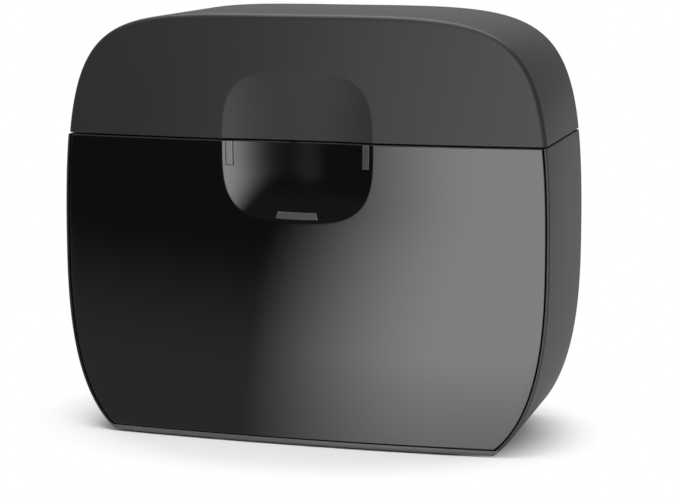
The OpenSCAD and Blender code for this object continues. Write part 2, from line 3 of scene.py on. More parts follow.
import bpy
import numpy as np
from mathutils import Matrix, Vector


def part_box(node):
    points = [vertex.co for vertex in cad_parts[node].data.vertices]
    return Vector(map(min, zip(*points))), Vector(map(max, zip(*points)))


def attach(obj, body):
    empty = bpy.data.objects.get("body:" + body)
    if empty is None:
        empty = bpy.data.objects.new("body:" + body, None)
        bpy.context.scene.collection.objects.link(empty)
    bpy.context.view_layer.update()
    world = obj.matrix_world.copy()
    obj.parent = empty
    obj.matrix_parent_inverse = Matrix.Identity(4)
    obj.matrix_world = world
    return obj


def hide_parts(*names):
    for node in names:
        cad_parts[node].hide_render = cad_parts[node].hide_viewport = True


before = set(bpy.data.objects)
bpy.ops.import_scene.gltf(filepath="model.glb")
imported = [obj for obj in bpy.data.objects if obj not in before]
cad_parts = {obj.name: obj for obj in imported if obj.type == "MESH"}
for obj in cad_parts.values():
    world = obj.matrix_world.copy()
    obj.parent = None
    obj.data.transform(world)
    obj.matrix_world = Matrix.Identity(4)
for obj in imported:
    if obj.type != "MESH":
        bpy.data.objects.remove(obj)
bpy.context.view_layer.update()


# Base shell
# The lower tub of the case, moulded in one piece from dark grey plastic with a fine satin finish. Its front wall
# is set back to take the gloss panel, so that only a thin lip of the tub shows round the panel's edge. Below it, a
# band along the foot is painted paler, as painted light bounced up from the white floor. The hinge, the power
# socket and the foot each get a pad, an opening or a recess.

MM = 0.001
hair = 0.001 * MM
fit_gap = 0.1 * MM
overshoot = 1 * MM
base_low, base_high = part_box("base_shell")
lid_low, lid_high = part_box("lid_shell")
half_width = base_high.x
bottom_z = base_low.z
case_top = lid_high.z
front_y = lid_low.y
back_y = base_high.y
base_top = base_high.z
lid_bottom = lid_low.z
seam_z = (base_top + lid_bottom) / 2
widest_z = 37.5 * MM
bottom_half = 38 * MM
front_bow = 2.5 * MM
shoulder_reach = 0.856
shoulder_rise = 1.034
flank_full = 0.294
toe_full = 0.983
toe_slope = 0.78
edge_radius = 1.1 * MM
lip_radius = 0.3 * MM
seam_radius = 0.12 * MM
panel_inset = 0.75 * MM
panel_sill = 1.1 * MM
panel_gap = 0.25 * MM
panel_depth = 2 * MM
panel_seat = panel_depth + fit_gap
rim_wall = 1.6 * MM

scoop_width = 29.5 * MM
scoop_height = 28.6 * MM
scoop_depth = 1.2 * MM
scoop_square = 3.3
scoop_power = 3
scoop_drop = 1.1 * MM
scoop_z = seam_z - scoop_drop
scoop_margin = 1.8 * MM
pad_share = 1 + 2 * scoop_margin / scoop_width
pad_back = front_y + panel_seat + rim_wall


def bezier(points, t):
    """Places and slopes along a curve with four control points."""
    a, b, c, d = (np.array(p) for p in points)
    t = t[:, None]
    place = (1 - t) ** 3 * a + 3 * (1 - t) ** 2 * t * b + 3 * (1 - t) * t ** 2 * c + t ** 3 * d
    slope = (1 - t) ** 2 * (b - a) + 2 * (1 - t) * t * (c - b) + t ** 2 * (d - c)
    return place, slope


def case_outline(inset=0.0, lift=0.0):
    """Right half of the front outline, moved inwards by inset, with its level bottom raised by lift."""
    shoulder = [
        (0, case_top),
        (shoulder_reach * half_width, case_top),
        (half_width, widest_z + shoulder_rise * (case_top - widest_z)),
        (half_width, widest_z),
    ]
    toe_run = toe_full * (half_width - bottom_half)
    flank = [
        (half_width, widest_z),
        (half_width, widest_z - flank_full * (widest_z - bottom_z)),
        (bottom_half + toe_run, bottom_z + toe_slope * toe_run),
        (bottom_half, bottom_z),
    ]
    parts = []
    for curve in (shoulder, flank):
        place, slope = bezier(curve, np.linspace(0, 1, 400))
        inward = np.stack([slope[:, 1], -slope[:, 0]], 1) / np.linalg.norm(slope, axis=1)[:, None]
        parts.append(place + inset * inward)
    level = np.linspace(parts[-1][-1, 0], 0, 120)[1:]
    parts.append(np.stack([level, np.full_like(level, bottom_z)], 1))
    line = np.concatenate(parts)
    line[:, 1] = np.maximum(line[:, 1], bottom_z + inset + lift)
    return line


def scoop_outline(share=1.0):
    """Right half of the scoop's squarish rim, from the top to the bottom, at a share of its size."""
    turn = np.linspace(pi / 2, -pi / 2, 800)
    across = np.abs(np.cos(turn)) ** (2 / scoop_square) * share * scoop_width / 2
    up = np.sign(np.sin(turn)) * np.abs(np.sin(turn)) ** (2 / scoop_square) * share * scoop_height / 2
    return np.stack([across, scoop_z + up], 1)


def reach(line, angles):
    """How far a line lies from the middle of the scoop, along each angle."""
    across, up = line[:, 0], line[:, 1] - scoop_z
    turn = np.arctan2(up, across)
    return np.interp(np.arcsin(np.sin(angles)), turn[::-1], np.hypot(across, up)[::-1])


def along_outline(inset=0.0, lift=0.0):
    """Angles and distances from the scoop's middle of points along the outline, one of them on each bottom corner."""
    flank_points, level_points = 171, 50
    line = case_outline(inset, lift)
    run = np.concatenate([[0], np.cumsum(np.linalg.norm(np.diff(line, axis=0), axis=1))])
    corner = run[np.argmax(line[:, 1] < line[-1, 1] + hair)]
    steps = np.concatenate([np.linspace(0, corner, flank_points), np.linspace(corner, run[-1], level_points)[1:]])
    across, up = np.interp(steps, run, line[:, 0]), np.interp(steps, run, line[:, 1])
    right = np.arctan2(up - scoop_z, across)
    angles = np.concatenate([right, (pi - right)[-2:0:-1]])
    return angles, reach(line, angles)


def bow(x):
    """Depth of the bowed front at a distance from the middle."""
    radius = (half_width ** 2 + front_bow ** 2) / (2 * front_bow)
    return front_y + radius - np.sqrt(radius ** 2 - x ** 2)


def ring(angles, radius, depth):
    """One closed ring of points round the scoop's middle; depth is a level or a rule for the front."""
    x = radius * np.cos(angles)
    z = scoop_z + radius * np.sin(angles)
    y = depth(x, z) if callable(depth) else np.full_like(x, depth)
    return np.stack([x, y, z], 1)


def outline_ring(inset, depth, lift=0.0):
    """One ring along the outline."""
    return ring(*along_outline(inset, lift), depth)


def edge_rings(radius, place, lift_share=0.0):
    """Rings round a rounded edge of the case, out to the outline."""
    edge_steps = 9
    rings = []
    for turn in np.linspace(0, pi / 2, edge_steps):
        inset = radius * (1 - sin(turn))
        rings.append(outline_ring(inset, place(radius * (1 - cos(turn))), lift_share * inset))
    return rings


def face_rings(inner, inset, depth, shares, lift=0.0):
    """Rings of a face between an inner line, or the scoop's middle, and the outline."""
    angles, edge = along_outline(inset, lift)
    start = 0 * edge if inner is None else reach(inner, angles)
    return [ring(angles, start + (edge - start) * share, depth) for share in shares]


def skin(name, rings):
    """A grid bent into a skin over rings, and closed where its sides meet."""
    bpy.ops.object.select_all(action="DESELECT")
    bpy.ops.mesh.primitive_grid_add(x_subdivisions=len(rings[0]), y_subdivisions=len(rings) - 1, size=MM)
    piece = bpy.context.object
    piece.name = name
    points = np.array([np.concatenate([r, r[:1]]) for r in rings])
    piece.data.vertices.foreach_set("co", points.ravel())
    bpy.ops.object.mode_set(mode="EDIT")
    bpy.ops.mesh.select_all(action="SELECT")
    bpy.ops.mesh.remove_doubles(threshold=hair / 2)
    bpy.ops.mesh.normals_make_consistent(inside=False)
    bpy.ops.object.mode_set(mode="OBJECT")
    return piece


def pick(piece):
    """Makes a piece the active one, with nothing else selected."""
    bpy.ops.object.select_all(action="DESELECT")
    bpy.context.view_layer.objects.active = piece
    piece.select_set(True)


def cut_level(piece, height, keep):
    """Cuts a piece at a height and keeps what is above, below or both."""
    pick(piece)
    bpy.ops.object.mode_set(mode="EDIT")
    bpy.ops.mesh.select_all(action="SELECT")
    bpy.ops.mesh.bisect(
        plane_co=(0, 0, height), plane_no=(0, 0, 1), threshold=hair / 10,
        clear_inner=keep == "above", clear_outer=keep == "below",
    )
    bpy.ops.mesh.select_all(action="SELECT")
    bpy.ops.mesh.remove_doubles(threshold=hair / 2)
    bpy.ops.object.mode_set(mode="OBJECT")


def ease_seam(piece, height, up, radius):
    """Rounds the edge that a level cut has left, on the side that up points to."""
    for share in (0.1, 0.3, 0.6, 1.0):
        cut_level(piece, height + up * share * radius, "both")
    for vertex in piece.data.vertices:
        rise = (vertex.co.z - height) * up
        if rise < radius:
            pull = radius - (radius ** 2 - (radius - max(rise, 0)) ** 2) ** 0.5
            flat = vertex.normal.copy()
            flat.z = 0
            vertex.co -= flat.normalized() * pull


def close_cut(piece):
    """Closes the opening that a level cut has left."""
    pick(piece)
    bpy.ops.object.mode_set(mode="EDIT")
    bpy.ops.mesh.select_all(action="DESELECT")
    bpy.ops.mesh.select_mode(type="EDGE")
    bpy.ops.mesh.select_non_manifold(extend=False, use_boundary=True, use_wire=False, use_multi_face=False,
                                     use_non_contiguous=False, use_verts=False)
    bpy.ops.mesh.edge_face_add()
    bpy.ops.mesh.select_mode(type="VERT")
    bpy.ops.mesh.select_all(action="SELECT")
    bpy.ops.mesh.normals_make_consistent(inside=False)
    bpy.ops.object.mode_set(mode="OBJECT")


def combine(piece, other, operation):
    """Joins or cuts a piece with another, which is used up."""
    pick(piece)
    step = piece.modifiers.new(operation.lower(), "BOOLEAN")
    step.operation = operation
    step.solver = "MANIFOLD"
    step.object = other
    bpy.ops.object.modifier_apply(modifier=step.name)
    bpy.data.objects.remove(other)


def carve(piece, cutter):
    """Takes a cutter's form out of a piece."""
    combine(piece, cutter, "DIFFERENCE")


def fuse(piece, other):
    """Adds another form to a piece."""
    combine(piece, other, "UNION")


def corners(node):
    """The two far corners of a CAD node."""
    low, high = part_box(node)
    return np.array(low), np.array(high)


def block(low, high):
    """A box between two corners."""
    bpy.ops.object.select_all(action="DESELECT")
    bpy.ops.mesh.primitive_cube_add(size=1)
    piece = bpy.context.object
    middle, size = (np.array(low) + np.array(high)) / 2, np.array(high) - np.array(low)
    for vertex in piece.data.vertices:
        vertex.co = np.array(vertex.co) * size + middle
    return piece


def round_upright(piece, axis, radius):
    """Rounds the four edges of a box that run along an axis."""
    bpy.ops.object.mode_set(mode="EDIT")
    bpy.ops.mesh.select_mode(type="EDGE")
    bpy.ops.mesh.select_all(action="DESELECT")
    bpy.ops.object.mode_set(mode="OBJECT")
    along = "xyz".index(axis)
    for edge in piece.data.edges:
        a, b = (piece.data.vertices[i].co for i in edge.vertices)
        edge.select = abs(a[along] - b[along]) > hair
    bpy.ops.object.mode_set(mode="EDIT")
    bpy.ops.mesh.bevel(offset=radius, segments=10, affect="EDGES")
    bpy.ops.mesh.select_mode(type="VERT")
    bpy.ops.object.mode_set(mode="OBJECT")


def ease_edges(piece, width, segments):
    """Rounds every sharp edge of a piece, as a mould does."""
    pick(piece)
    step = piece.modifiers.new("round", "BEVEL")
    step.width = width
    step.segments = segments
    step.limit_method = "ANGLE"
    step.angle_limit = radians(40)
    bpy.ops.object.modifier_apply(modifier=step.name)
    smooth(piece)
    flat = piece.modifiers.new("flat_faces", "WEIGHTED_NORMAL")
    flat.keep_sharp = True
    bpy.ops.object.modifier_apply(modifier=flat.name)


def eased_copy(node, name, width, segments):
    """A copy of a CAD node, with its flat faces made whole and its edges rounded."""
    piece = bpy.data.objects.new(name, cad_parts[node].data.copy())
    bpy.context.scene.collection.objects.link(piece)
    pick(piece)
    bpy.ops.object.mode_set(mode="EDIT")
    bpy.ops.mesh.select_all(action="SELECT")
    bpy.ops.mesh.remove_doubles(threshold=hair)
    bpy.ops.mesh.dissolve_limited(angle_limit=radians(0.5))
    bpy.ops.object.mode_set(mode="OBJECT")
    ease_edges(piece, width, segments)
    return piece


def smooth(piece):
    """Welds away slivers and shades a piece smooth, apart from its sharp edges."""
    pick(piece)
    bpy.ops.object.mode_set(mode="EDIT")
    bpy.ops.mesh.select_all(action="SELECT")
    bpy.ops.mesh.remove_doubles(threshold=hair / 2)
    bpy.ops.object.mode_set(mode="OBJECT")
    bpy.ops.object.shade_smooth_by_angle(angle=radians(32))


pad_line = scoop_outline(pad_share)
pad_angles = along_outline()[0]
pad_rings = [ring(pad_angles, reach(pad_line, pad_angles) * share, pad_back) for share in (1, 0.5, 0)]
lip_inset = panel_inset - panel_gap
sill_lift = panel_sill - panel_inset
lip_lift = panel_sill - fit_gap - lip_inset


def at_back(drop):
    """Depth of a level that lies this far in front of the flat back."""
    return back_y - drop


def behind_front(depth):
    """Rule for a face that lies this far behind the bowed front."""
    return lambda x, z: bow(x) + depth


seat = face_rings(None, lip_inset, behind_front(panel_seat), (0, 0.25, 0.5, 0.75, 1), lip_lift)
lip_inner = [outline_ring(lip_inset, behind_front(0), lip_lift)]
lip_edge = edge_rings(lip_radius, behind_front, lip_lift / lip_inset)
back_edge = edge_rings(edge_radius, at_back)[::-1]
back_face = face_rings(None, edge_radius, back_y, (0.6, 0.2, 0))
base_shell = skin("base_tub", seat + lip_inner + lip_edge + back_edge + back_face)
cut_level(base_shell, base_top, "below")
ease_seam(base_shell, base_top, -1, seam_radius)
close_cut(base_shell)

inner_front = panel_seat + rim_wall
inner_back = face_rings(None, rim_wall, back_y - rim_wall, (0, 0.3, 1))
inner_wall = face_rings(pad_line, rim_wall, behind_front(inner_front), (1, 0.6, 0.3, 0))
pad_way = [ring(pad_angles, reach(pad_line, pad_angles) * share, front_y - overshoot) for share in (1, 0)]
base_inside = skin("base_inside", inner_back + inner_wall + pad_way)
cut_level(base_inside, base_top + overshoot, "below")
close_cut(base_inside)
carve(base_shell, base_inside)

hinge_half = 20 * MM
hinge_notch = 3 * MM
leaf_front = back_y - 5.7 * MM
leaf_back = leaf_front + 1.5 * MM
pad_end = back_y - 0.5 * MM
notch_low = seam_z - hinge_notch
base_pad_height = 11 * MM
pad_low = notch_low - base_pad_height
fuse(base_shell, block((-hinge_half, leaf_back, pad_low), (hinge_half, pad_end, notch_low)))
notch_corner = (hinge_half, back_y + overshoot, base_top + overshoot)
carve(base_shell, block((-hinge_half, leaf_front, notch_low), notch_corner))

socket_low, socket_high = corners("usb_socket")
socket_gap = np.array([0.35, 0, 0.35]) * MM
plug_way = np.array([0, 3, 0]) * MM
socket_corner = 1.9 * MM
socket_room = block(socket_low - socket_gap, socket_high + socket_gap + plug_way)
round_upright(socket_room, "y", socket_corner)
carve(base_shell, socket_room)

foot_low, foot_high = corners("foot_pad")
foot_gap = np.array([fit_gap, fit_gap, 0])
foot_corner = 5 * MM
foot_room = block(foot_low - foot_gap - [0, 0, overshoot], foot_high + foot_gap)
round_upright(foot_room, "z", foot_corner + fit_gap)
carve(base_shell, foot_room)
smooth(base_shell)
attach(base_shell, "base")
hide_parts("base_shell")


def grain_group():
    """Fine moulded grain: a height for bump and a slow drift of tone, both in object space."""
    group = bpy.data.node_groups.new("moulded_grain", "ShaderNodeTree")
    group.interface.new_socket("Grain Size", in_out="INPUT", socket_type="NodeSocketFloat")
    group.interface.new_socket("Height", in_out="OUTPUT", socket_type="NodeSocketFloat")
    group.interface.new_socket("Tone", in_out="OUTPUT", socket_type="NodeSocketFloat")
    nodes, links = group.nodes, group.links
    given = nodes.new("NodeGroupInput")
    out = nodes.new("NodeGroupOutput")
    place = nodes.new("ShaderNodeTexCoord")
    grain = nodes.new("ShaderNodeTexNoise")
    grain.inputs["Detail"].default_value = 3
    drift = nodes.new("ShaderNodeTexNoise")
    drift.inputs["Scale"].default_value = 35
    drift.inputs["Detail"].default_value = 2
    links.new(place.outputs["Object"], grain.inputs["Vector"])
    links.new(given.outputs["Grain Size"], grain.inputs["Scale"])
    links.new(place.outputs["Object"], drift.inputs["Vector"])
    links.new(grain.outputs["Fac"], out.inputs["Height"])
    links.new(drift.outputs["Fac"], out.inputs["Tone"])
    return group


moulded_grain = grain_group()
grain_depth = 0.02 * MM


def moulded(name, dark, light, rough_low, rough_high, grains_per_metre, bump, specular=0.5):
    """Moulded plastic: two close tones, a slightly uneven sheen and a fine grain."""
    material = bpy.data.materials.new(name)
    material.use_nodes = True
    nodes, links = material.node_tree.nodes, material.node_tree.links
    shader = nodes["Principled BSDF"]
    shader.inputs["Specular IOR Level"].default_value = specular
    grain = nodes.new("ShaderNodeGroup")
    grain.node_tree = moulded_grain
    grain.inputs["Grain Size"].default_value = grains_per_metre
    tone = nodes.new("ShaderNodeMix")
    tone.data_type = "RGBA"
    tone.inputs["A"].default_value = (*dark, 1)
    tone.inputs["B"].default_value = (*light, 1)
    sheen = nodes.new("ShaderNodeMapRange")
    sheen.inputs["To Min"].default_value = rough_low
    sheen.inputs["To Max"].default_value = rough_high
    relief = nodes.new("ShaderNodeBump")
    relief.inputs["Strength"].default_value = bump
    relief.inputs["Distance"].default_value = grain_depth
    links.new(grain.outputs["Tone"], tone.inputs["Factor"])
    links.new(tone.outputs["Result"], shader.inputs["Base Color"])
    links.new(grain.outputs["Tone"], sheen.inputs["Value"])
    links.new(sheen.outputs["Result"], shader.inputs["Roughness"])
    links.new(grain.outputs["Height"], relief.inputs["Height"])
    links.new(relief.outputs["Normal"], shader.inputs["Normal"])
    return material


def dress(piece, material):
    """Gives a piece one material."""
    piece.data.materials.clear()
    piece.data.materials.append(material)


satin_grey = moulded("satin_grey", (0.0215, 0.0215, 0.0205), (0.0235, 0.0235, 0.0225), 0.40, 0.46, 3500, 0.25, 0.2)
dress(base_shell, satin_grey)
# Painted light: a paler copy of the satin that stands for floor bounce light on the foot of the tub.
painted_bounce_grey = moulded("painted_bounce_grey", (0.100, 0.100, 0.096), (0.115, 0.115, 0.110), 0.55, 0.65, 3500, 0.25, 0.3)
base_shell.data.materials.append(painted_bounce_grey)
# The faces along the foot of the front and sides, in front of the hinge, take the painted bounce light.
for face in base_shell.data.polygons:
    if face.center.z < bottom_z + panel_sill and abs(face.normal.z) < 0.99 and face.center.y < leaf_front:
        face.material_index = 1


# Front panel
# A thin bowed plate of piano-black plastic, bonded into the front of the base. The lower half of the finger scoop
# is moulded into it, with slots near the scoop's rim for the light windows. Its upper edge, at the seam, is satin.

rim_softness = 0.02 * MM
panel_edge_radius = 0.3 * MM
panel_seam_radius = 0.22 * MM


def scooped_front(x, z):
    """The bowed front with the scoop dished into it; its rim is very slightly rounded."""
    share = (np.abs(2 * x / scoop_width) ** scoop_square
             + np.abs(2 * (z - scoop_z) / scoop_height) ** scoop_square) ** (1 / scoop_square)
    dish = scoop_depth * (1 - share ** scoop_power)
    return bow(x) + (dish + np.sqrt(dish ** 2 + rim_softness ** 2)) / 2


def scoop_and_face(inset, lift=0.0):
    """Rings from the middle of the scoop over its rim to the edge of the face."""
    scoop_steps = np.concatenate([np.linspace(0, 0.9, 26), np.linspace(0.915, 1.03, 16)])
    angles, edge = along_outline(inset, lift)
    rim = reach(scoop_outline(), angles)
    rings = [ring(angles, rim * share, scooped_front) for share in scoop_steps]
    start = scoop_outline(scoop_steps[-1])
    return rings + face_rings(start, inset, scooped_front, np.linspace(0, 1, 31)[1:], lift)


panel_face = scoop_and_face(panel_inset + panel_edge_radius, sill_lift)
panel_edge = []
for turn in np.linspace(0, pi / 2, 6):
    inset = panel_inset + panel_edge_radius * (1 - sin(turn))
    drop = panel_edge_radius * (1 - cos(turn))
    panel_edge.append(outline_ring(inset, behind_front(drop), sill_lift))
panel_back = face_rings(pad_line, panel_inset, behind_front(panel_depth), (1, 0.6, 0.3, 0), sill_lift)
front_panel = skin("gloss_panel", panel_face + panel_edge + panel_back + pad_rings)
cut_level(front_panel, base_top, "below")
ease_seam(front_panel, base_top, -1, panel_seam_radius)
close_cut(front_panel)

window_width = 1.35 * MM
window_margin = 0.65 * MM
side_window_height = 4.7 * MM
lower_window_width = 8.4 * MM
window_out = 1 - 2 * window_margin / scoop_width
window_in = window_out - 2 * window_width / scoop_width
window_length = 6 * MM
slot_reach = 2 * MM


def scoop_turn(offset, half_size):
    """Angle at which the scoop's rim curve stands this far off its middle."""
    return np.arcsin((offset / half_size) ** (scoop_square / 2))


def window_body(side, proud, grow, top):
    """A curved bar along the scoop's rim: side is -1 or 1 for left and right, 0 for the lower one."""
    rows, columns = 5, 41
    bpy.ops.object.select_all(action="DESELECT")
    bpy.ops.mesh.primitive_grid_add(x_subdivisions=columns - 1, y_subdivisions=rows - 1, size=MM)
    bar = bpy.context.object
    places = []
    for share in np.linspace(window_in - 2 * grow / scoop_width, window_out + 2 * grow / scoop_width, rows):
        half_w, half_h = share * scoop_width / 2, share * scoop_height / 2
        if side:
            low = scoop_turn(scoop_z - base_top + side_window_height + grow, half_h)
            turns = np.linspace(-low, scoop_turn(top - scoop_z, half_h), columns)
        else:
            wide = pi / 2 - scoop_turn(lower_window_width * share / window_out / 2 + grow, half_w)
            turns = np.linspace(wide - pi, -wide, columns)
        x = np.sign(np.cos(turns)) * np.abs(np.cos(turns)) ** (2 / scoop_square) * half_w
        z = scoop_z + np.sign(np.sin(turns)) * np.abs(np.sin(turns)) ** (2 / scoop_square) * half_h
        places.append(np.stack([(side or 1) * x, scooped_front(x, z) - proud, z], 1))
    bar.data.vertices.foreach_set("co", np.array(places).ravel())
    bpy.ops.object.mode_set(mode="EDIT")
    bpy.ops.mesh.select_all(action="SELECT")
    bpy.ops.mesh.extrude_region_move(TRANSFORM_OT_translate={"value": (0, window_length, 0)})
    bpy.ops.mesh.select_all(action="SELECT")
    bpy.ops.mesh.normals_make_consistent(inside=False)
    bpy.ops.object.mode_set(mode="OBJECT")
    return bar


for side in (-1, 1, 0):
    carve(front_panel, window_body(side, slot_reach, fit_gap, base_top + slot_reach))
smooth(front_panel)
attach(front_panel, "base")
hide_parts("front_panel")

piano_black = moulded("piano_black", (0.0035, 0.0035, 0.0035), (0.0045, 0.0045, 0.0045), 0.04, 0.07, 300, 0.0)
dress(front_panel, piano_black)
front_panel.data.materials.append(satin_grey)
for face in front_panel.data.polygons:
    if face.center.z > base_top - panel_seam_radius and face.normal.z > 0.2:
        face.material_index = 1


# Light windows
# Three bars of frosted, smoke-grey plastic that pass through slots in the panel and stand a little proud of the
# scoop. A lamp on the small board behind each one shows the state of the left aid, the right aid and the case.

window_proud = 0.2 * MM
window_edge = 0.09 * MM
frosted = moulded("frosted_window", (0.050, 0.050, 0.049), (0.064, 0.064, 0.062), 0.26, 0.34, 5000, 0.15)
for name, side in (("left", -1), ("right", 1), ("lower", 0)):
    window = window_body(side, window_proud, 0, base_top - fit_gap)
    window.name = "frosted_window_" + name
    ease_edges(window, window_edge, 3)
    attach(window, "base")
    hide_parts("light_window_" + name)
    dress(window, frosted)


# Inner fittings
# Boards, cell, coils, magnets and screws that the deck hides. They keep their plain forms and get the finish that
# each has in a real case: solder mask, copper wire, foil, sintered ferrite, nickel and steel.

board_green = moulded("solder_mask", (0.006, 0.050, 0.018), (0.012, 0.085, 0.032), 0.25, 0.40, 900, 0.2)
chip_black = moulded("chip_resin", (0.010, 0.010, 0.010), (0.022, 0.022, 0.022), 0.45, 0.60, 4000, 0.3)
lamp_white = moulded("lamp_resin", (0.62, 0.60, 0.50), (0.75, 0.73, 0.62), 0.20, 0.30, 2000, 0.1)
ferrite_grey = moulded("sintered_ferrite", (0.030, 0.030, 0.033), (0.055, 0.055, 0.060), 0.55, 0.75, 3000, 0.5)
cradle_grey = moulded("cradle_plastic", (0.11, 0.11, 0.11), (0.15, 0.15, 0.15), 0.45, 0.60, 2500, 0.3)


def metal(name, dark, light, rough_low, rough_high, grains_per_metre, bump):
    """Bare metal: the same grain and drift of tone as the mouldings, on a metallic surface."""
    material = moulded(name, dark, light, rough_low, rough_high, grains_per_metre, bump)
    material.node_tree.nodes["Principled BSDF"].inputs["Metallic"].default_value = 1
    return material


steel = metal("screw_steel", (0.42, 0.42, 0.42), (0.56, 0.56, 0.56), 0.28, 0.42, 2500, 0.2)
nickel = metal("magnet_nickel", (0.58, 0.57, 0.55), (0.68, 0.67, 0.65), 0.18, 0.30, 1500, 0.1)
foil = metal("cell_foil", (0.46, 0.48, 0.52), (0.56, 0.58, 0.62), 0.32, 0.48, 700, 0.4)
copper = metal("coil_copper", (0.48, 0.20, 0.09), (0.66, 0.32, 0.16), 0.30, 0.45, 4000, 0.6)
finishes = {
    board_green: ("light_board", "main_board"),
    chip_black: ("board_chips",),
    lamp_white: ("status_leds",),
    ferrite_grey: ("ferrite_left", "ferrite_right"),
    cradle_grey: ("battery_cradle",),
    steel: ("light_board_screws", "tray_screws", "board_screws", "base_hinge_screws", "lid_hinge_screws",
            "hinge_pin", "usb_socket"),
    nickel: ("base_magnets", "lid_magnets"),
    foil: ("battery_cell",),
    copper: ("charge_coil_left", "charge_coil_right"),
}
for material, nodes in finishes.items():
    for node in nodes:
        dress(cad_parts[node], material)


# Charging deck and well pads
# The deck is one moulding in darker textured plastic: two deep wells for the aids, a round pocket for each ear dome
# and a raised lip that centres the lid. A soft pad lies on the floor of each well.

deck_black = moulded("deck_plastic", (0.020, 0.020, 0.020), (0.028, 0.028, 0.027), 0.48, 0.60, 2600, 0.45)
soft_grey = moulded("pad_silicone", (0.050, 0.052, 0.056), (0.064, 0.066, 0.071), 0.55, 0.70, 1800, 0.5)
deck = eased_copy("charging_tray", "charging_deck", 0.35 * MM, 3)
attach(deck, "base")
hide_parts("charging_tray")
dress(deck, deck_black)
for side in ("left", "right"):
    pad = eased_copy("well_pad_" + side, "soft_pad_" + side, 0.3 * MM, 3)
    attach(pad, "base")
    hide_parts("well_pad_" + side)
    dress(pad, soft_grey)


# Foot
# A flat pad of black rubber with rounded corners, pressed into a recess under the base. It keeps the case from
# sliding, and it also covers the screws that hold the deck.

rubber = moulded("foot_rubber", (0.012, 0.012, 0.012), (0.020, 0.020, 0.020), 0.65, 0.80, 2200, 0.6)
foot = eased_copy("foot_pad", "rubber_foot", 0.25 * MM, 3)
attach(foot, "base")
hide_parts("foot_pad")
dress(foot, rubber)


# Hinge
# Two moulded hinge halves in black acetal, each screwed to a pad inside its shell, that turn on a steel pin.
# Small dogs on the knuckles meet when the lid is fully open.

acetal = moulded("hinge_acetal", (0.024, 0.024, 0.024), (0.032, 0.032, 0.031), 0.38, 0.50, 2600, 0.2)
for node, body in (("base_hinge", "base"), ("lid_hinge", "lid")):
    half = eased_copy(node, node + "_half", 0.12 * MM, 2)
    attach(half, body)
    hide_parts(node)
    dress(half, acetal)


# Lid shell
# The lid is moulded from the same satin plastic as the base, and its front carries the upper half of the scoop.
# Its edges are rounded like the base's, and a fine radius breaks the edge along the seam.

lid_wall = 2 * MM
pad_root_share = 1.02 * pad_share
lid_pad_height = 10.9 * MM
lid_face = scoop_and_face(edge_radius)
lid_edge = edge_rings(edge_radius, behind_front)
lid_shell = skin("lid_cover", lid_face + lid_edge + back_edge + back_face)
cut_level(lid_shell, lid_bottom, "above")
ease_seam(lid_shell, lid_bottom, 1, seam_radius)
close_cut(lid_shell)

lid_inside_back = face_rings(None, lid_wall, back_y - lid_wall, (0, 0.3, 1))
pad_root = scoop_outline(pad_root_share)
lid_inside_front = face_rings(pad_root, lid_wall, behind_front(lid_wall), (1, 0.6, 0.3, 0))
lid_inside = skin("lid_inside", lid_inside_back + lid_inside_front + pad_rings)
cut_level(lid_inside, lid_bottom - overshoot, "above")
close_cut(lid_inside)
carve(lid_shell, lid_inside)
notch_high = seam_z + hinge_notch
pad_high = notch_high + lid_pad_height
notch_corner = (-hinge_half, leaf_front, lid_bottom - overshoot)
carve(lid_shell, block(notch_corner, (hinge_half, back_y + overshoot, notch_high)))
fuse(lid_shell, block((-hinge_half, leaf_back, notch_high), (hinge_half, pad_end, pad_high)))
smooth(lid_shell)
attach(lid_shell, "lid")
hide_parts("lid_shell")
dress(lid_shell, satin_grey)


# Lid liner
# The inner moulding of the lid, in the deck's plastic. It closes the lid from below and forms a roomy pocket over
# each well, so that the wire of an aid is not crushed.

lining = eased_copy("lid_liner", "lid_lining", 0.35 * MM, 3)
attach(lining, "lid")
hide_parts("lid_liner")
dress(lining, deck_black)


# Studio
# A pale floor under soft light from above. Two sheets show only in reflections: a graded card in front of the case,
# which the gloss panel mirrors, dark on the left and bright on the right, and a canopy above and behind it, which
# gives the lid its bright upper edge.

scene = bpy.context.scene
scene.view_settings.view_transform = "Standard"

camera_data = bpy.data.cameras.new("camera")
camera_data.sensor_fit = "HORIZONTAL"
camera_data.sensor_width = 36
camera_data.lens = 114.6
camera = bpy.data.objects.new("camera", camera_data)
scene.collection.objects.link(camera)
yaw, pitch, distance = radians(15.97), radians(9.45), 425.3 * MM
look_at = np.array([3.54, -1.4, 35.4]) * MM
camera.location = look_at + distance * np.array([sin(yaw) * cos(pitch), -cos(yaw) * cos(pitch), sin(pitch)])
camera.rotation_euler = (pi / 2 - pitch, 0, yaw)
scene.camera = camera


def shader_tree(name):
    """An empty node material for the stage, with its nodes and links."""
    material = bpy.data.materials.new(name)
    material.use_nodes = True
    material.node_tree.nodes.clear()
    return material, material.node_tree.nodes, material.node_tree.links


def maths(nodes, operation, *values):
    """A sum on numbers; None leaves an input for a link."""
    node = nodes.new("ShaderNodeMath")
    node.operation = operation
    for socket, value in zip(node.inputs, values):
        if value is not None:
            socket.default_value = value
    return node


def spread(nodes, start, end, low, high, kind="LINEAR"):
    """Maps a value between start and end to one between low and high."""
    node = nodes.new("ShaderNodeMapRange")
    node.interpolation_type = kind
    for name, value in (("From Min", start), ("From Max", end), ("To Min", low), ("To Max", high)):
        node.inputs[name].default_value = value
    return node


def stage_sheet(name, width, depth, middle_y, height):
    """A level sheet over the floor."""
    bpy.ops.mesh.primitive_plane_add(size=1)
    sheet = bpy.context.object
    sheet.name = name
    for vertex in sheet.data.vertices:
        vertex.co = (vertex.co.x * width, middle_y + vertex.co.y * depth, height)
    return sheet


def only_mirrored(sheet):
    """Hides a sheet from everything but reflections."""
    sheet.visible_camera = False
    sheet.visible_diffuse = False
    sheet.visible_shadow = False
    sheet.visible_transmission = False


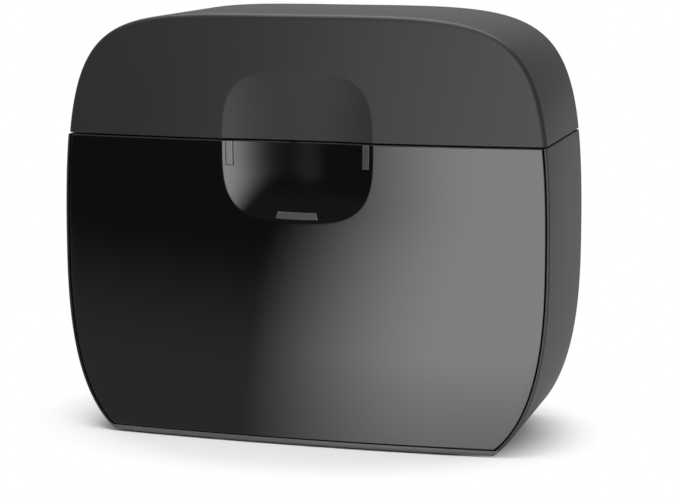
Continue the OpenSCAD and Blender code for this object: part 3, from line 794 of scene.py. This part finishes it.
def shine(nodes, links, strength):
    """Ends a material in plain light of a strength."""
    light = nodes.new("ShaderNodeEmission")
    out = nodes.new("ShaderNodeOutputMaterial")
    links.new(strength, light.inputs["Strength"])
    links.new(light.outputs["Emission"], out.inputs["Surface"])


floor_mirrored = 0.69
shadow_squash = (0.88, 1.2, 1)
shadow_shift = (0.0025, 0, 0)
shadow_start, shadow_end = 0.034, 0.053
bpy.ops.object.select_all(action="DESELECT")
bpy.ops.mesh.primitive_plane_add(size=8)
floor = bpy.context.object
floor.name = "studio_floor"
floor_paint, nodes, links = shader_tree("studio_floor")
lit = nodes.new("ShaderNodeBsdfDiffuse")
lit.inputs["Color"].default_value = (0.95, 0.95, 0.95, 1)
white = nodes.new("ShaderNodeEmission")
path = nodes.new("ShaderNodeLightPath")
mirrored = spread(nodes, 0, 1, floor_mirrored, 1)
place = nodes.new("ShaderNodeTexCoord")
oval = nodes.new("ShaderNodeVectorMath")
oval.operation = "MULTIPLY_ADD"
oval.inputs[1].default_value = shadow_squash
oval.inputs[2].default_value = shadow_shift
far = nodes.new("ShaderNodeVectorMath")
far.operation = "LENGTH"
fade = spread(nodes, shadow_start, shadow_end, 0, 1, "SMOOTHSTEP")
seen = maths(nodes, "MAXIMUM")
share = maths(nodes, "MULTIPLY")
blend = nodes.new("ShaderNodeMixShader")
out = nodes.new("ShaderNodeOutputMaterial")
links.new(place.outputs["Object"], oval.inputs[0])
links.new(oval.outputs["Vector"], far.inputs[0])
links.new(far.outputs["Value"], fade.inputs["Value"])
links.new(path.outputs["Is Camera Ray"], seen.inputs[0])
links.new(path.outputs["Is Glossy Ray"], seen.inputs[1])
links.new(path.outputs["Is Camera Ray"], mirrored.inputs["Value"])
links.new(mirrored.outputs["Result"], white.inputs["Strength"])
links.new(fade.outputs["Result"], share.inputs[0])
links.new(seen.outputs["Value"], share.inputs[1])
links.new(share.outputs["Value"], blend.inputs["Fac"])
links.new(lit.outputs["BSDF"], blend.inputs[1])
links.new(white.outputs["Emission"], blend.inputs[2])
links.new(blend.outputs["Shader"], out.inputs["Surface"])
dress(floor, floor_paint)

card_bright = 5.2
card_dark = 0.03
card_glow = 0.42
card_rise = 0.9
card = stage_sheet("studio_card", 1.6, 0.68, -0.3595, 0.0004)
bpy.ops.object.mode_set(mode="EDIT")
bpy.ops.mesh.select_all(action="DESELECT")
bpy.ops.object.mode_set(mode="OBJECT")
front_edge = min(vertex.co.y for vertex in card.data.vertices)
for vertex in card.data.vertices:
    vertex.select = vertex.co.y == front_edge
bpy.ops.object.mode_set(mode="EDIT")
bpy.ops.mesh.extrude_region_move(TRANSFORM_OT_translate={"value": (0, 0, card_rise)})
bpy.ops.object.mode_set(mode="OBJECT")
only_mirrored(card)
card_paint, nodes, links = shader_tree("studio_card")
place = nodes.new("ShaderNodeTexCoord")
split = nodes.new("ShaderNodeSeparateXYZ")
links.new(place.outputs["Object"], split.inputs["Vector"])

# The gradient fans out from a point behind the case, and its limits shift with the distance in front of it.
aside = maths(nodes, "SUBTRACT", None, 0.0435)
ahead = maths(nodes, "SUBTRACT", 0.121)
fan = maths(nodes, "DIVIDE")
slant_reach = maths(nodes, "MAXIMUM", None, -0.32)
slant_rise = maths(nodes, "MULTIPLY_ADD", None, -1.35)
slant_start = maths(nodes, "MULTIPLY_ADD", None, -0.446, -0.482)
slant_end = maths(nodes, "MULTIPLY_ADD", None, -0.223, -0.1186)
grade = spread(nodes, 0, 1, 0, card_bright, "SMOOTHSTEP")
links.new(split.outputs["X"], aside.inputs[0])
links.new(split.outputs["Y"], ahead.inputs[1])
links.new(aside.outputs["Value"], fan.inputs[0])
links.new(ahead.outputs["Value"], fan.inputs[1])
links.new(split.outputs["Y"], slant_reach.inputs[0])
links.new(split.outputs["Z"], slant_rise.inputs[0])
links.new(slant_reach.outputs["Value"], slant_rise.inputs[2])
links.new(slant_rise.outputs["Value"], slant_start.inputs[0])
links.new(slant_rise.outputs["Value"], slant_end.inputs[0])
links.new(fan.outputs["Value"], grade.inputs["Value"])
links.new(slant_start.outputs["Value"], grade.inputs["From Min"])
links.new(slant_end.outputs["Value"], grade.inputs["From Max"])

# It is weaker close to the case and far to the right. A dim glow lies near the case and on the upright part.
near = spread(nodes, -0.1, -0.02, 1, 0.62)
side_fade = spread(nodes, 0.3, 0.8, 1, 0.3)
glow = spread(nodes, -0.26, -0.05, card_dark, card_glow, "SMOOTHSTEP")
wall = spread(nodes, 0, 0.12, 0, 0.1)
shaded = maths(nodes, "MULTIPLY")
trimmed = maths(nodes, "MULTIPLY")
either = maths(nodes, "MAXIMUM")
total = maths(nodes, "MAXIMUM")
links.new(split.outputs["Y"], near.inputs["Value"])
links.new(fan.outputs["Value"], side_fade.inputs["Value"])
links.new(split.outputs["Y"], glow.inputs["Value"])
links.new(split.outputs["Z"], wall.inputs["Value"])
links.new(grade.outputs["Result"], shaded.inputs[0])
links.new(near.outputs["Result"], shaded.inputs[1])
links.new(shaded.outputs["Value"], trimmed.inputs[0])
links.new(side_fade.outputs["Result"], trimmed.inputs[1])
links.new(glow.outputs["Result"], either.inputs[0])
links.new(wall.outputs["Result"], either.inputs[1])
links.new(trimmed.outputs["Value"], total.inputs[0])
links.new(either.outputs["Value"], total.inputs[1])
shine(nodes, links, total.outputs["Value"])
dress(card, card_paint)

canopy_bright, canopy_dim = 9.5, 0.3
canopy_front, canopy_back = 0.07, 1.17
canopy = stage_sheet("studio_canopy", 1.2, 1.1, 0.62, 1.0)
only_mirrored(canopy)
canopy_paint, nodes, links = shader_tree("studio_canopy")
place = nodes.new("ShaderNodeTexCoord")
split = nodes.new("ShaderNodeSeparateXYZ")
falloff = spread(nodes, canopy_front, canopy_back, canopy_bright, canopy_dim)
links.new(place.outputs["Object"], split.inputs["Vector"])
links.new(split.outputs["Y"], falloff.inputs["Value"])
shine(nodes, links, falloff.outputs["Result"])
dress(canopy, canopy_paint)

sky_light, sky_mirrored = 0.45, 0.36
world = bpy.data.worlds.new("studio")
scene.world = world
world.use_nodes = True
nodes, links = world.node_tree.nodes, world.node_tree.links
soft = nodes["Background"]
soft.inputs["Color"].default_value = (1, 1, 1, 1)
backdrop = nodes.new("ShaderNodeBackground")
backdrop.inputs["Color"].default_value = (1, 1, 1, 1)
backdrop.inputs["Strength"].default_value = 1
path = nodes.new("ShaderNodeLightPath")
dimmed = spread(nodes, 0, 1, sky_light, sky_mirrored)
seen = maths(nodes, "MAXIMUM")
blend = nodes.new("ShaderNodeMixShader")
links.new(path.outputs["Is Camera Ray"], seen.inputs[0])
links.new(path.outputs["Is Transmission Ray"], seen.inputs[1])
links.new(seen.outputs["Value"], blend.inputs["Fac"])
links.new(path.outputs["Is Glossy Ray"], dimmed.inputs["Value"])
links.new(dimmed.outputs["Result"], soft.inputs["Strength"])
links.new(soft.outputs["Background"], blend.inputs[1])
links.new(backdrop.outputs["Background"], blend.inputs[2])
links.new(blend.outputs["Shader"], nodes["World Output"].inputs["Surface"])

lamp_place, lamp_aim = Vector((-0.12, -0.2, 1.0)), Vector((0, 0, 0.03))
lamp_data = bpy.data.lights.new("overhead", "AREA")
lamp_data.shape = "RECTANGLE"
lamp_data.size = lamp_data.size_y = 0.5
lamp_data.energy = 6.2
lamp = bpy.data.objects.new("overhead", lamp_data)
scene.collection.objects.link(lamp)
lamp.location = lamp_place
lamp.rotation_euler = (lamp_aim - lamp_place).to_track_quat("-Z", "Y").to_euler()
